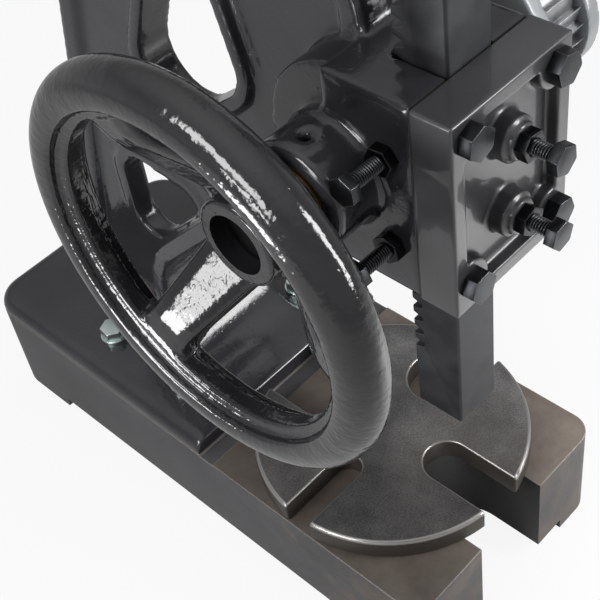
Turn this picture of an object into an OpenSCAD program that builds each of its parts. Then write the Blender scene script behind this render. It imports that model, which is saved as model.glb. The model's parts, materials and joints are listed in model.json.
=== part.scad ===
// Manual ratchet press: a cast C-frame on a forked base, a square rack ram driven by a
// twelve-tooth pinion, a handwheel for quick approach and a ratchet lever for the working stroke.
// X runs along the pinion shaft, -Y is the operator's side, +Z is up.
// The origin is the centre of the anvil disc's working face.

/* [Ram and rack] */
// Width and depth of the square ram
ram_w = 38; // [34:1:40]
// Length of the ram
ram_len = 450; // [420:5:480]
// Height of the ram's nose above the anvil disc
daylight = 91; // [80:1:100]
// Distance from the disc's turning axis forward to the ram's axis
ram_reach = 69; // [66:1:74]
// Plain length left below the lowest rack groove
rack_margin = 55; // [50:1:60]
// Depth of a rack groove
groove_depth = 8.6; // [8.4:0.1:9.4]

/* [Gearing] */
// Tooth module of rack and pinion
gear_module = 4; // [4:0.1:4.2]
// Teeth on the pinion
pinion_teeth = 12; // [12:1:13]
// Profile shift of the pinion, in modules
pinion_shift = 0.3; // [0.3:0.01:0.35]
// Pressure angle
pressure_angle = 20; // [20:0.5:21]
// Play between the teeth, measured on the pitch line
tooth_play = 0.35; // [0.25:0.05:0.6]
// Length of the pinion's teeth
pinion_face = 40; // [38:1:42]
// Height of the pinion shaft above the anvil disc
shaft_z = 314; // [310:1:318]
// Radius of the shaft in its bearings
shaft_r = 19; // [17:0.5:20]

/* [Anvil disc] */
// Diameter of the disc
disc_d = 217; // [205:1:225]
// Thickness of the disc
disc_t = 20; // [18:1:24]
// Bevel round the disc's edges
disc_bevel = 2; // [1:0.5:3]
// Width of the front slot
slot_front_w = 37.5; // [30:0.5:44]
// Width of the left slot
slot_left_w = 24; // [18:0.5:32]
// Width of the rear slot
slot_rear_w = 63; // [56:0.5:64]
// Width of the right slot
slot_right_w = 52; // [44:0.5:54]
// Distance from the disc's axis to the inner end of the front slot
slot_front_start = 38; // [34:0.5:44]
// Distance from the disc's axis to the inner end of the left slot
slot_left_start = 40; // [34:0.5:44]
// Distance from the disc's axis to the inner end of the rear slot
slot_rear_start = 33; // [31:0.5:38]
// Distance from the disc's axis to the inner end of the right slot
slot_right_start = 35; // [32:0.5:40]
// Radius of the pin that the disc turns on
pin_r = 12.5; // [10:0.5:16]
// Depth of the pin's blind hole in the disc
pin_seat = 12; // [8:1:14]

/* [Base] */
// Width of the base
base_w = 216; // [206:1:226]
// Length of the base
base_len = 510; // [500:1:530]
// Distance from the disc's axis to the front of the base
base_front = 116.5; // [112:0.5:122]
// Height of the base casting without its feet
base_h = 81; // [70:1:95]
// Height of the feet
foot_h = 11; // [6:1:16]
// Length of a foot
foot_len = 77; // [60:1:90]
// Width of a foot
foot_w = 42; // [36:1:46]
// Width of the gap between the arms of the base
gap_w = 72; // [64:1:76]
// Distance from the disc's axis to the inner end of the gap
gap_start = 36; // [32:1:40]
// Wall thickness of the base casting
base_wall = 14; // [12:1:18]
// Thickness of the machined top of the base
base_top_t = 18; // [15:1:24]
// Corner radius at the front of the arms
arm_corner = 18; // [10:1:20]
// Corner radius at the back of the base
rear_corner = 28; // [22:1:34]
// Width of the cast strip between the two machined faces of the top
strip_w = 15; // [12:1:18]
// Depth of that strip
strip_depth = 1.5; // [1:0.5:3]

/* [Column] */
// Thickness of the column's foot plate
plate_t = 16; // [14:1:20]
// Rounding of the foot plate's upper edge
plate_round = 10; // [6:1:11]
// Height of the throat's floor above the rest of the foot plate
floor_rise = 2; // [1:0.5:4]
// Distance from the disc's axis back to the column's foot
foot_start = 112; // [112:1:120]
// Distance from the disc's axis back to the throat's wall
throat_back = 193; // [188:1:200]
// Height of the throat's roof above the disc
throat_roof = 246; // [244:1:254]
// Radius between the throat's floor and wall
throat_low_r = 47; // [40:1:54]
// Radius where the throat's wall turns forward
throat_mid_r = 84; // [78:1:90]
// Radius under the arm
throat_high_r = 67; // [60:1:74]
// Width of the flange round the throat
throat_flange_w = 100; // [92:1:102]
// Width of the flange down the back
back_flange_w = 28; // [24:1:32]
// Thickness of the flange round the throat
flange_t = 13; // [11:1:15]
// Thickness of the flange down the back
back_flange_t = 19; // [17:1:22]
// Thickness of the web
web_t = 16; // [14:1:18]
// Distance from the disc's axis to the heel of the column
heel_y = 352; // [346:1:356]
// Slope of the column's back, as a share of its height
back_lean = 0.23; // [0.2:0.01:0.26]
// Height of the column's top above the disc
column_top = 425; // [420:1:440]
// Radius of the column's rear top corner
crown_r = 70; // [60:1:90]
// Raised rim round the upper window
upper_rim_h = 8; // [4:1:10]
// Raised rim round the lower window
lower_rim_h = 2; // [1:0.5:4]
// Width of the rims round the windows
rim_w = 11; // [8:1:12]

/* [Head] */
// Width of the head
head_w = 102; // [100:1:106]
// Depth of the head
head_d = 64; // [62:1:70]
// Height of the head's lower face above the disc
head_z = 242; // [238:1:244]
// Height of the head
head_h = 138; // [136:1:142]
// Radius of the round cheeks beside the pinion
cheek_r = 61.5; // [58:0.5:64]
// Width across the cheeks
cheek_w = 80; // [72:1:88]
// Radius of the bearing bosses
boss_r = 36; // [34:1:40]
// Distance from the middle of the head to the ends of the bosses
boss_reach = 87; // [84:1:90]
// Radius of the right bearing
bearing_r = 30; // [30:0.5:32]
// Wall of the left bush
bush_wall = 4; // [3:0.5:6]

/* [Cover] */
// Width of the cover
cover_w = 104; // [102:1:108]
// Thickness of the cover
cover_t = 28; // [26:1:32]
// Width of the cover's rim
cover_rim = 11; // [9:1:13]
// Depth of the recess in the cover's face
cover_recess = 8; // [5:1:10]
// Distance across between the cover bolts
cover_bolt_x = 76; // [72:1:78]
// Distance up between the cover bolts
cover_bolt_z = 104; // [103:1:108]
// Distance between the two gib screws
gib_screw_gap = 54; // [50:1:60]
// Depth of the lower side screw below the middle of the cover bolts
side_screw_low = 39; // [36:1:39]
// Height of the upper side screw above the middle of the cover bolts
side_screw_high = 26; // [26:1:30]
// Width of the front gib
gib_w = 30; // [24:1:34]
// Thickness of the front gib
gib_t = 10; // [8:0.5:12]

/* [Screws] */
// Radius of the M12 screws
screw_r = 6; // [5:0.25:7]
// Size of a hex head across its flats
hex_af = 19; // [17:0.5:20]
// Height of a hex head
hex_h = 9; // [7:0.5:10]
// Radius of the M10 adjusting screws
adjust_r = 5; // [4:0.25:5.5]
// Size of an adjusting screw's head and nut across their flats
adjust_af = 17; // [15:0.5:18]
// Height of an adjusting screw's head
adjust_h = 7; // [6:0.5:9]
// Thickness of a jam nut
jam_t = 7; // [6:0.5:9]
// Free thread between a jam nut and the screw's head at the side
side_thread = 22; // [14:1:26]
// Free thread between a jam nut and the screw's head at the front
front_thread = 13; // [8:0.5:16]
// Distance from the middle plane to the foot bolts
foot_bolt_x = 70; // [68:1:76]
// Distance between the front and rear foot bolts
foot_bolt_gap = 90; // [80:1:100]
// Distance from the disc's axis to the rear foot bolts
foot_bolt_y = 257; // [250:1:262]

/* [Handwheel] */
// Outer diameter of the handwheel
wheel_d = 259; // [250:1:266]
// Radius of the round grip of the rim
grip_r = 16; // [14:0.5:17]
// Distance from the press's middle plane to the rim
rim_x = 158; // [154:1:162]
// Inner radius of the rim's band
band_r = 99; // [97:0.5:100]
// Thickness of the rim's band
band_t = 12; // [10:0.5:14]
// Radius of the hub
hub_r = 28.5; // [27:0.5:32]
// Distance from the middle plane to the hub's outer face
hub_x = 132; // [130:1:136]
// Width of a spoke at the hub
spoke_w = 44; // [38:1:48]
// Width of a spoke at the rim
spoke_tip_w = 30; // [26:1:34]
// Width of the bevels along a spoke
spoke_bevel = 6.5; // [4:0.5:8]
// Depth of the open bore in front of the shaft's end
bore_recess = 12; // [8:1:16]

/* [Ratchet and lever] */
// Teeth on the ratchet wheel
ratchet_teeth = 24; // [24:1:24]
// Outer radius of the ratchet wheel
ratchet_r = 42; // [41:0.5:43]
// Depth of the ratchet teeth
ratchet_depth = 6.5; // [5:0.5:7]
// Radius of the lever head's cheeks
lever_head_r = 44; // [43:0.5:48]
// Distance from the middle plane to the lever head's outer face
lever_head_x = 148; // [146:1:152]
// Thickness of each cheek of the lever head
lever_cheek_t = 12; // [10:0.5:13]
// Width of the slot that holds the ratchet wheel
lever_slot_w = 32; // [30:0.5:34]
// Radius of the shaft's end in the ratchet and the lever head
stub_r = 17; // [15:0.5:18]
// Radius of the lever bar
bar_r = 12.5; // [10:0.5:14]
// Distance from the shaft to the lever's tip
lever_len = 620; // [500:10:680]
// Lean of the lever behind upright
lever_lean = 15; // [10:1:30]
// Radius of the ball knob
knob_r = 22; // [18:1:28]
// Distance from the shaft to the pawl's pin
pawl_reach = 56; // [55:0.5:58]
// Radius of the pawl's pin
pawl_pin_r = 6; // [5:0.5:7]
// Radius of the lever head round the foot of the socket
lobe_r = 24; // [20:1:26]
// Radius of the room for the pawl's hub in the slot
pawl_room = 30; // [28:1:32]
// Swing of the pawl between thrown out and in mesh
pawl_swing = 16; // [15:1:18]

/* [Fits] */
// Radial clearance of running fits
run_fit = 0.05; // [0.02:0.01:0.1]
// Radial clearance of parts that are fixed together
seat_fit = 0.02; // [0.01:0.01:0.05]
// Gap beside parts that turn or slide past each other
side_gap = 0.3; // [0.2:0.05:0.5]

/* [Hidden] */
$fn = 64;
eps = 0.01;

// levels
base_top = -disc_t;
base_under = base_top - base_h;
floor_z = base_under - foot_h;
deck_z = base_top + plate_t;
plate_top = deck_z - floor_rise;
base_back = base_len - base_front;
head_top = head_z + head_h;

// the ram, the joint plane of the cover, and the pinion's axis
ram_y = -ram_reach;
joint_y = ram_y - ram_w / 2;
ram_back = ram_y + ram_w / 2;
pitch_r = gear_module * pinion_teeth / 2;
rack_pitch = PI * gear_module;
shaft_y = ram_back - gear_module + pitch_r + gear_module * pinion_shift;
pinion_tip_r = pitch_r + gear_module * (1 + pinion_shift);
pinion_root_r = pitch_r - gear_module * (1.25 - pinion_shift);
groove_low = floor((shaft_z - daylight - rack_margin) / rack_pitch);
groove_high = floor((daylight + ram_len - rack_margin - shaft_z) / rack_pitch);

// the middle of the cover bolts, and the gib screws
cover_mid = head_z + head_h / 2 + 3;
screw_zs = [shaft_z - gib_screw_gap / 2, shaft_z + gib_screw_gap / 2];
side_zs = [cover_mid - side_screw_low, cover_mid + side_screw_high];
hex_r = hex_af / 2 / cos(30);
nut_r = adjust_af / 2 / cos(30);
cover_face = joint_y - cover_t;
pad_t = 7;
big_collar_r = nut_r + 4.5;
small_collar_r = nut_r + 1.5;
big_collar_h = 3;
small_collar_h = 4;

// centres of the throat's three arcs
low_c = [throat_back - throat_low_r, deck_z + throat_low_r];
mid_c = [throat_back - throat_mid_r, low_c[1] + 0.4 * throat_low_r];
high_c = [mid_c[0] + mid_c[1] + (throat_mid_r - throat_high_r) * sqrt(2)
          - (throat_roof - throat_high_r), throat_roof - throat_high_r];
arm_start = joint_y + head_d;

// windows in the web: three corners each, given as [centre, radius]
upper_corners = [[[arm_start + 146, head_z + 64], 30], [[arm_start + 186, head_z + 37], 33],
                 [[arm_start + 158, head_z + 115], 30]];
lower_corners = [[[throat_back, deck_z + 143], 14], [[throat_back + 52, deck_z + 100], 20],
                 [[throat_back + 44, deck_z + 135], 28]];

// bearings and the stack on the right end of the shaft
bush_start = pinion_face / 2 + 0.5;
collar_end = lever_head_x - 2 * lever_cheek_t - lever_slot_w;
stub_start = boss_reach - 4 + side_gap;
ratchet_x = lever_head_x - lever_cheek_t - lever_slot_w + 2;
ratchet_w = lever_slot_w - 4;
washer_t = 4;
nut_t = 18;
nut_start = lever_head_x + side_gap + washer_t;
thread_r = 12;

// the lever and the pawl, about the shaft's axis
lever_angle = 90 - lever_lean;
tooth_angle = 360 / ratchet_teeth;
pawl_angle = -15;
mesh_angle = 36;
socket_r = 19;
socket_end = 122;
bar_start = 68;

// small shared shapes

// a bar of round section along X, from one x to another
module rod_x(r, x0, x1) {
    translate([x0, 0, 0]) rotate([0, 90, 0]) cylinder(r = r, h = x1 - x0);
}

// a side view, drawn in Y and Z, thickened along X from one x to another
module side(x0, x1) {
    translate([x0, 0, 0]) rotate([90, 0, 90]) linear_extrude(x1 - x0) children();
}

function polar(r, a) = [r * cos(a), r * sin(a)];

// two circles joined by their common tangents
module egg(c1, r1, c2, r2) {
    d = c2 - c1;
    lean = acos((r1 - r2) / norm(d));
    dir = atan2(d[1], d[0]);
    translate(c1) circle(r1);
    translate(c2) circle(r2);
    polygon([c1 + polar(r1, dir + lean), c2 + polar(r2, dir + lean),
             c2 + polar(r2, dir - lean), c1 + polar(r1, dir - lean)]);
}

// where the line touches that runs along the right of corners a and b, both grown by t
function tangent(a, b, t) =
    let (d = b[0] - a[0],
         turn = atan2(d[1], d[0]) - acos((a[1] - b[1]) / norm(d)))
    [a[0] + polar(a[1] + t, turn), b[0] + polar(b[1] + t, turn)];

// a triangle with its own radius at each corner, grown by t
module three_corners(c, t) {
    for (k = c) translate(k[0]) circle(k[1] + t);
    polygon([for (k = [0 : 2]) each tangent(c[k], c[(k + 1) % 3], t)]);
}

// a rectangle with its own corner radii at the front and at the back
module plan(w, y0, y1, r_front, r_back) {
    for (s = [-1, 1]) {
        translate([s * (w / 2 - r_front), y0 + r_front]) circle(r_front);
        translate([s * (w / 2 - r_back), y1 - r_back]) circle(r_back);
    }
    polygon([[-w / 2 + r_front, y0], [w / 2 - r_front, y0], [w / 2, y0 + r_front],
             [w / 2, y1 - r_back], [w / 2 - r_back, y1], [-w / 2 + r_back, y1],
             [-w / 2, y1 - r_back], [-w / 2, y0 + r_front]]);
}

// a hex head or nut standing on z = 0, its outer corners turned off
module hex(h, r) {
    intersection() {
        cylinder(r = r, h = h, $fn = 6);
        cylinder(r1 = r + 1 + h, r2 = r - 1, h = h + 0.4);
    }
}

// a fixing screw along -Z, with its head standing on z = 0
module screw(shank) {
    hex(hex_h, hex_r);
    translate([0, 0, -shank]) cylinder(r = screw_r, h = shank + eps);
}

// an adjusting screw along -Z, with its head standing on z = 0
module adjuster(shank) {
    hex(adjust_h, nut_r);
    translate([0, 0, -shank]) cylinder(r = adjust_r, h = shank + eps);
}

// a hex nut on an adjusting screw
module jam_nut() {
    difference() {
        hex(jam_t, nut_r);
        translate([0, 0, -1]) cylinder(r = adjust_r + seat_fit, h = jam_t + 2);
    }
}

// places children on the cover's face plane, looking forward
module facing_front(x, y, z) {
    translate([x, y, z]) rotate([90, 0, 0]) children();
}

// places children on the head's left side, looking left
module facing_left(x, z) {
    translate([x, ram_y, z]) rotate([0, -90, 0]) rotate(90) children();
}

// base

// feet, hidden ribs and the two arms with the gap between them
module base() {
    color("dimgray") difference() {
        union() {
            translate([0, 0, base_under]) linear_extrude(base_h)
                plan(base_w, -base_front, base_back, arm_corner, rear_corner);
            translate([0, 0, floor_z]) linear_extrude(foot_h + eps) intersection() {
                plan(base_w, -base_front, base_back, arm_corner, rear_corner);
                for (s = [-1, 1], y = [-base_front, base_back - foot_len])
                    translate([s * (base_w - foot_w) / 2 - foot_w / 2, y])
                        square([foot_w, foot_len]);
            }
        }
        // the gap, open to the front, with a round inner end
        translate([0, -gap_start - gap_w / 2, floor_z - 1]) {
            cylinder(r = gap_w / 2, h = base_h + foot_h + 2);
            translate([-gap_w / 2, -base_front, 0]) cube([gap_w, base_front, base_h + foot_h + 2]);
        }
        // hollows under the arms and under the deck
        translate([0, 0, floor_z - 1]) linear_extrude(base_h + foot_h + 1 - base_top_t) {
            for (s = [-1, 1])
                translate([s * (gap_w / 2 + base_w / 2) / 2, 0])
                    plan(base_w / 2 - gap_w / 2 - 2 * base_wall, -base_front + base_wall,
                         base_back - base_wall, 6, 12);
            plan(gap_w - base_wall, gap_start + 12, base_back - base_wall, 6, 6);
        }
        // cast strip between the disc's face and the column's face
        translate([-base_w, foot_start - strip_w, base_top - strip_depth])
            cube([2 * base_w, strip_w, strip_depth + 1]);
        translate([0, 0, base_top - 30]) cylinder(r = pin_r + seat_fit, h = 31);
        for (s = [-1, 1], y = [foot_bolt_y, foot_bolt_y - foot_bolt_gap])
            translate([s * foot_bolt_x, y, base_top - base_top_t - 1])
                cylinder(r = screw_r + seat_fit, h = base_top_t + 2);
    }
}

// pin that the disc turns on
module anvil_pin() {
    color("silver") translate([0, 0, base_top - 30 + eps])
        cylinder(r = pin_r, h = 30 + pin_seat - 1);
}

// column and head

// the open throat seen from the side, grown by t
module throat(t) {
    front = -ram_reach - 200;
    a = [throat_back - throat_low_r, deck_z - t];
    b = [throat_back + t, low_c[1]];
    c = [throat_back + t, mid_c[1]];
    d = mid_c + polar(throat_mid_r + t, 45);
    e = high_c + polar(throat_high_r + t, 45);
    f = high_c + [0, throat_high_r + t];
    polygon([[front, a[1]], a, low_c, b, c, mid_c, d, e, high_c, f, [front, f[1]]]);
    intersection() {
        translate(low_c) circle(throat_low_r + t);
        translate([low_c[0], low_c[1] - 200]) square(200);
    }
    intersection() {
        translate(mid_c) circle(throat_mid_r + t);
        translate(mid_c) square(200);
    }
    intersection() {
        translate(high_c) circle(throat_high_r + t);
        translate(high_c) square(200);
    }
}

// the column's outline seen from the side without its throat, shrunk by t
module outline(t) {
    slant = sqrt(1 + back_lean * back_lean);
    r = crown_r - t;
    crown = [heel_y - back_lean * (column_top - crown_r - deck_z) - crown_r * slant,
             column_top - crown_r];
    lean = atan(back_lean);
    brow = 40;
    brow_c = [arm_start - 1 + brow, column_top - brow];
    heel = heel_y - t * slant - back_lean * (base_top - deck_z);
    translate(crown) circle(r);
    translate(brow_c) circle(brow - t);
    polygon([[foot_start, base_top], [heel, base_top], crown + polar(r, lean), crown + [0, r],
             brow_c + [0, brow - t], brow_c - [brow - t, 0], [arm_start - 1 + t, head_z - 90],
             [foot_start, head_z - 90]]);
}

module side_view() {
    difference() {
        outline(0);
        throat(0);
    }
}

// foot plate with a rounded upper edge at its sides and back
module foot_plate() {
    r = plate_round;
    w = base_w;
    corner = rear_corner - r;
    h = plate_top - base_top;
    translate([0, 0, base_top]) {
        linear_extrude(h - r) plan(w, foot_start, base_back, 1, rear_corner);
        linear_extrude(h) plan(w - 2 * r, foot_start, base_back - r, 1, corner);
    }
    intersection() {
        translate([-w, foot_start, base_top]) cube([2 * w, base_len, h]);
        union() {
            for (s = [-1, 1]) {
                translate([s * (w / 2 - r), foot_start, plate_top - r]) rotate([-90, 0, 0])
                    cylinder(r = r, h = base_back - rear_corner - foot_start);
                translate([s * (w / 2 - rear_corner), base_back - rear_corner, plate_top - r])
                    rotate_extrude() translate([corner, 0]) intersection() {
                        circle(r);
                        square(r);
                    }
            }
            translate([-w / 2 + rear_corner, base_back - r, plate_top - r]) rotate([0, 90, 0])
                cylinder(r = r, h = w - 2 * rear_corner);
        }
    }
}

// bearing boss with a fillet at the cheek, along +X from the middle
module boss(reach) {
    fillet = 5;
    rotate([0, 90, 0]) {
        cylinder(r = boss_r, h = reach);
        translate([0, 0, head_w / 2]) rotate_extrude() difference() {
            translate([boss_r - 1, 0]) square([fillet + 1, fillet]);
            translate([boss_r + fillet, fillet]) circle(fillet);
        }
    }
}

module column_body() {
    half_web = web_t / 2;
    half_throat = throat_flange_w / 2;
    half_back = back_flange_w / 2;
    side(-half_web, half_web) side_view();
    side(-half_throat, half_throat) intersection() {
        side_view();
        throat(flange_t);
    }
    side(-half_back, half_back) difference() {
        side_view();
        outline(back_flange_t);
    }
    foot_plate();
    side(-half_web - upper_rim_h, half_web + upper_rim_h) three_corners(upper_corners, rim_w);
    side(-half_web - lower_rim_h, half_web + lower_rim_h) three_corners(lower_corners, rim_w);
    translate([-head_w / 2, joint_y, head_z]) cube([head_w, head_d, head_h]);
    intersection() {
        translate([0, shaft_y, shaft_z]) rod_x(cheek_r, -cheek_w / 2, cheek_w / 2);
        translate([-head_w, ram_y, head_z]) cube([2 * head_w, 2 * head_d + cheek_r, head_h]);
    }
    translate([0, shaft_y, shaft_z]) {
        boss(boss_reach - 4);
        mirror([1, 0, 0]) boss(boss_reach);
    }
}

module column() {
    slide = ram_w / 2 + run_fit;
    color("#4a4a4c") difference() {
        column_body();
        side(-base_w, base_w) {
            three_corners(upper_corners, 0);
            three_corners(lower_corners, 0);
        }
        // channel for the ram, with relief at its inner corners
        translate([-slide, joint_y - 1, head_z - 1])
            cube([2 * slide, ram_w + 1 + run_fit, head_h + 2]);
        for (s = [-1, 1]) translate([s * (slide - 1), ram_back - 1, head_z - 1])
            cylinder(r = 3, h = head_h + 2);
        // bores for the shaft's bearings, and room for the pinion between them
        translate([0, shaft_y, shaft_z]) {
            rod_x(shaft_r + bush_wall + seat_fit, -boss_reach - 1, 0);
            rod_x(bearing_r + seat_fit, -bush_start, boss_reach + 1);
        }
        // oil hole on the left boss
        translate([-boss_reach + 16, shaft_y, shaft_z]) cylinder(r = 4, h = boss_r + 1);
        for (x = [-1, 1], z = [-1, 1])
            facing_front(x * cover_bolt_x / 2, joint_y + 32, cover_mid + z * cover_bolt_z / 2)
                cylinder(r = screw_r + seat_fit, h = 33);
        for (z = side_zs) {
            facing_left(0, z) cylinder(r = adjust_r + seat_fit, h = head_w);
            // spot face for the jam nut in the boss's fillet
            facing_left(-head_w / 2, z) cylinder(r = nut_r + 0.1, h = head_w);
        }
        for (s = [-1, 1], y = [foot_bolt_y, foot_bolt_y - foot_bolt_gap])
            translate([s * foot_bolt_x, y, base_top - 1])
                cylinder(r = screw_r + 0.5, h = plate_t + 2);
    }
}

// bolts that hold the column's foot plate to the base
module foot_bolts() {
    color("#9fb0ad") for (s = [-1, 1], y = [foot_bolt_y, foot_bolt_y - foot_bolt_gap])
        translate([s * foot_bolt_x, y, plate_top + 2.5]) screw(plate_t + base_top_t + 2);
}

module foot_washers() {
    color("#9fb0ad") for (s = [-1, 1], y = [foot_bolt_y, foot_bolt_y - foot_bolt_gap])
        translate([s * foot_bolt_x, y, plate_top]) difference() {
            cylinder(r = hex_r + 1, h = 2.5);
            translate([0, 0, -1]) cylinder(r = screw_r + 0.5, h = 5);
        }
}

// plain bush in the left boss
module left_bush() {
    color("#a08040") translate([0, shaft_y, shaft_z]) difference() {
        rod_x(shaft_r + bush_wall, -boss_reach, -bush_start);
        rod_x(shaft_r + run_fit, -boss_reach - 1, 0);
    }
}

// sleeve in the right boss, large enough for the pinion to pass in behind it
module right_bearing() {
    color("#a08040") translate([0, shaft_y, shaft_z]) difference() {
        rod_x(bearing_r, bush_start, boss_reach - 4);
        rod_x(shaft_r + run_fit, 0, boss_reach + 1);
    }
}

// cover and gibs

module cover_plate() {
    corner_pad_r = 15;
    inner_w = cover_w - 2 * cover_rim;
    inner_h = head_h - 2 * cover_rim;
    color("#3c3c3e") difference() {
        union() {
            difference() {
                translate([-cover_w / 2, cover_face, head_z]) cube([cover_w, cover_t, head_h]);
                facing_front(0, cover_face + cover_recess, head_z + head_h / 2)
                    linear_extrude(cover_recess + 1) difference() {
                        plan(inner_w, -inner_h / 2, inner_h / 2, 5, 5);
                        for (x = [-1, 1], z = [-1, 1])
                            translate([x * cover_bolt_x / 2,
                                       z * cover_bolt_z / 2 + cover_mid - head_z - head_h / 2])
                                circle(corner_pad_r);
                    }
            }
            for (z = screw_zs) facing_front(0, cover_face + cover_recess + eps, z) {
                cylinder(r = big_collar_r, h = cover_recess + big_collar_h);
                cylinder(r = small_collar_r, h = cover_recess + big_collar_h + small_collar_h);
            }
        }
        // seat of the front gib
        translate([-gib_w / 2 - side_gap, joint_y - gib_t, head_z + 8])
            cube([gib_w + 2 * side_gap, gib_t + 1, head_h - 16]);
        for (z = screw_zs) facing_front(0, joint_y, z)
            cylinder(r = adjust_r + seat_fit, h = cover_t + 20);
        for (x = [-1, 1], z = [-1, 1])
            facing_front(x * cover_bolt_x / 2, joint_y + 1, cover_mid + z * cover_bolt_z / 2)
                cylinder(r = screw_r + 0.5, h = cover_t + 2);
    }
}

module cover_bolts() {
    color("#2f3032") for (x = [-1, 1], z = [-1, 1])
        facing_front(x * cover_bolt_x / 2, cover_face, cover_mid + z * cover_bolt_z / 2)
            screw(cover_t + 28);
}

// flat strip that the front screws press against the ram
module front_gib() {
    color("#8a7a50") translate([-gib_w / 2, joint_y - gib_t + run_fit, head_z + 8 + side_gap])
        cube([gib_w, gib_t - 2 * run_fit, head_h - 16 - 2 * side_gap]);
}

module front_gib_screws() {
    stand = big_collar_h + small_collar_h + jam_t + front_thread;
    color("#2f3032") for (z = screw_zs) facing_front(0, cover_face - stand, z)
        adjuster(stand + cover_t - gib_t - run_fit);
}

module front_jam_nuts() {
    color("#28292b") for (z = screw_zs)
        facing_front(0, cover_face - big_collar_h - small_collar_h, z) jam_nut();
}

// round pads between the side screws and the ram
module side_gib_pads() {
    color("#a08040") for (z = side_zs) facing_left(-ram_w / 2 - run_fit, z)
        cylinder(r = adjust_r, h = pad_t);
}

module side_gib_screws() {
    stand = jam_t + side_thread;
    color("#2f3032") for (z = side_zs) facing_left(-head_w / 2 - stand, z)
        adjuster(stand + head_w / 2 - ram_w / 2 - pad_t - 2 * run_fit);
}

module side_jam_nuts() {
    color("#28292b") for (z = side_zs) facing_left(-head_w / 2, z) jam_nut();
}

// anvil disc

// a slot along +X, open at the rim
module slot(w, start) {
    translate([start + w / 2, 0, -disc_t - 1]) {
        cylinder(r = w / 2, h = disc_t + 2);
        translate([0, -w / 2, 0]) cube([disc_d, w, disc_t + 2]);
    }
}

module anvil_disc() {
    r = disc_d / 2;
    b = disc_bevel;
    color("#4b4a4a") difference() {
        translate([0, 0, -disc_t]) rotate_extrude()
            polygon([[0, 0], [r - b, 0], [r, b], [r, disc_t - b], [r - b, disc_t], [0, disc_t]]);
        rotate(-90) slot(slot_front_w, slot_front_start);
        rotate(180) slot(slot_left_w, slot_left_start);
        rotate(90) slot(slot_rear_w, slot_rear_start);
        slot(slot_right_w, slot_right_start);
        translate([0, 0, -disc_t - 1]) cylinder(r = pin_r + run_fit, h = pin_seat + 1);
    }
}

// ram

// one rack groove, its middle on the origin, cut from the tip line at y = 0
module rack_groove() {
    grow = tan(pressure_angle);
    half = rack_pitch / 4;
    top = half + gear_module * grow;
    low = half - (groove_depth - gear_module) * grow;
    side(-ram_w, ram_w) polygon([[0.5, top + 0.5 * grow], [-groove_depth, low],
                                 [-groove_depth, -low], [0.5, -top - 0.5 * grow]]);
}

module ram() {
    bevel = 1.5;
    w = ram_w / 2;
    color("#3f3f41") difference() {
        translate([0, ram_y, daylight]) linear_extrude(ram_len)
            polygon([for (k = [0 : 3]) each [
                [w * cos(90 * k) - (w - bevel) * sin(90 * k), w * sin(90 * k) + (w - bevel) * cos(90 * k)],
                [(w - bevel) * cos(90 * k) - w * sin(90 * k), (w - bevel) * sin(90 * k) + w * cos(90 * k)]]]);
        for (k = [-groove_low : groove_high])
            translate([0, ram_back, shaft_z + k * rack_pitch]) rack_groove();
    }
}

// shaft with its pinion

function involute(a) = tan(a) - a * PI / 180;

// half the angle that a pinion tooth spans at radius r
function tooth_half(r) =
    let (base_r = pitch_r * cos(pressure_angle),
         thick = rack_pitch / 2 + 2 * pinion_shift * gear_module * tan(pressure_angle) - tooth_play,
         a = acos(min(1, base_r / r)))
    (thick / (2 * pitch_r) + involute(pressure_angle) - involute(a)) * 180 / PI;

// outline of the pinion, a tooth pointing along -X of the sketch
module pinion_outline() {
    steps = 7;
    base_r = pitch_r * cos(pressure_angle);
    rs = [for (i = [0 : steps]) base_r + (pinion_tip_r - base_r) * i / steps];
    polygon([for (k = [0 : pinion_teeth - 1]) let (mid = 180 + k * 360 / pinion_teeth) each [
        polar(pinion_root_r, mid - tooth_half(base_r)),
        for (r = rs) polar(r, mid - tooth_half(r)),
        for (i = [steps : -1 : 0]) polar(rs[i], mid + tooth_half(rs[i])),
        polar(pinion_root_r, mid + tooth_half(base_r))]]);
}

module pinion_shaft() {
    end_x = nut_start + nut_t + 3;
    color("#77787a") translate([0, shaft_y, shaft_z]) {
        side(-pinion_face / 2, pinion_face / 2) pinion_outline();
        rod_x(shaft_r, bore_recess - hub_x, stub_start);
        rod_x(stub_r, stub_start - 1, nut_start - washer_t);
        rod_x(thread_r, nut_start - washer_t - 1, end_x);
    }
}

// handwheel

// a spoke along +Y of the wheel, dished from the rim in to the hub, its front edges bevelled
module spoke() {
    bevel = spoke_bevel;
    module slab(x, y, depth, w) {
        translate([x + bevel, y, -w / 2]) cube([depth - bevel, 1, w]);
        translate([x, y, -w / 2 + bevel]) cube([depth, 1, w - 2 * bevel]);
    }
    hull() {
        slab(-hub_x + 2, hub_r - 6, 22, spoke_w);
        slab(-rim_x - band_t / 2 + 0.5, band_r, band_t - 1, spoke_tip_w);
    }
}

module handwheel() {
    grip_c = wheel_d / 2 - grip_r;
    color("#232326") translate([0, shaft_y, shaft_z]) difference() {
        union() {
            rotate([0, -90, 0]) rotate_extrude($fn = 96) {
                translate([0, rim_x]) {
                    difference() {
                        translate([grip_c, 0]) circle(grip_r);
                        translate([grip_c - 2 * grip_r - 8, -grip_r]) square([2 * grip_r, 2 * grip_r]);
                    }
                    translate([band_r, -band_t / 2]) square([grip_c - band_r, band_t]);
                }
            }
            rod_x(hub_r, -hub_x, -boss_reach - 2);
            for (a = [-58, 62, 182]) rotate([a, 0, 0]) spoke();
        }
        rod_x(shaft_r + seat_fit, -hub_x - 30, 0);
        translate([-boss_reach - 13, 0, 0]) rotate([-90, 0, 0]) cylinder(r = 4, h = hub_r + 1);
    }
}

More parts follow.
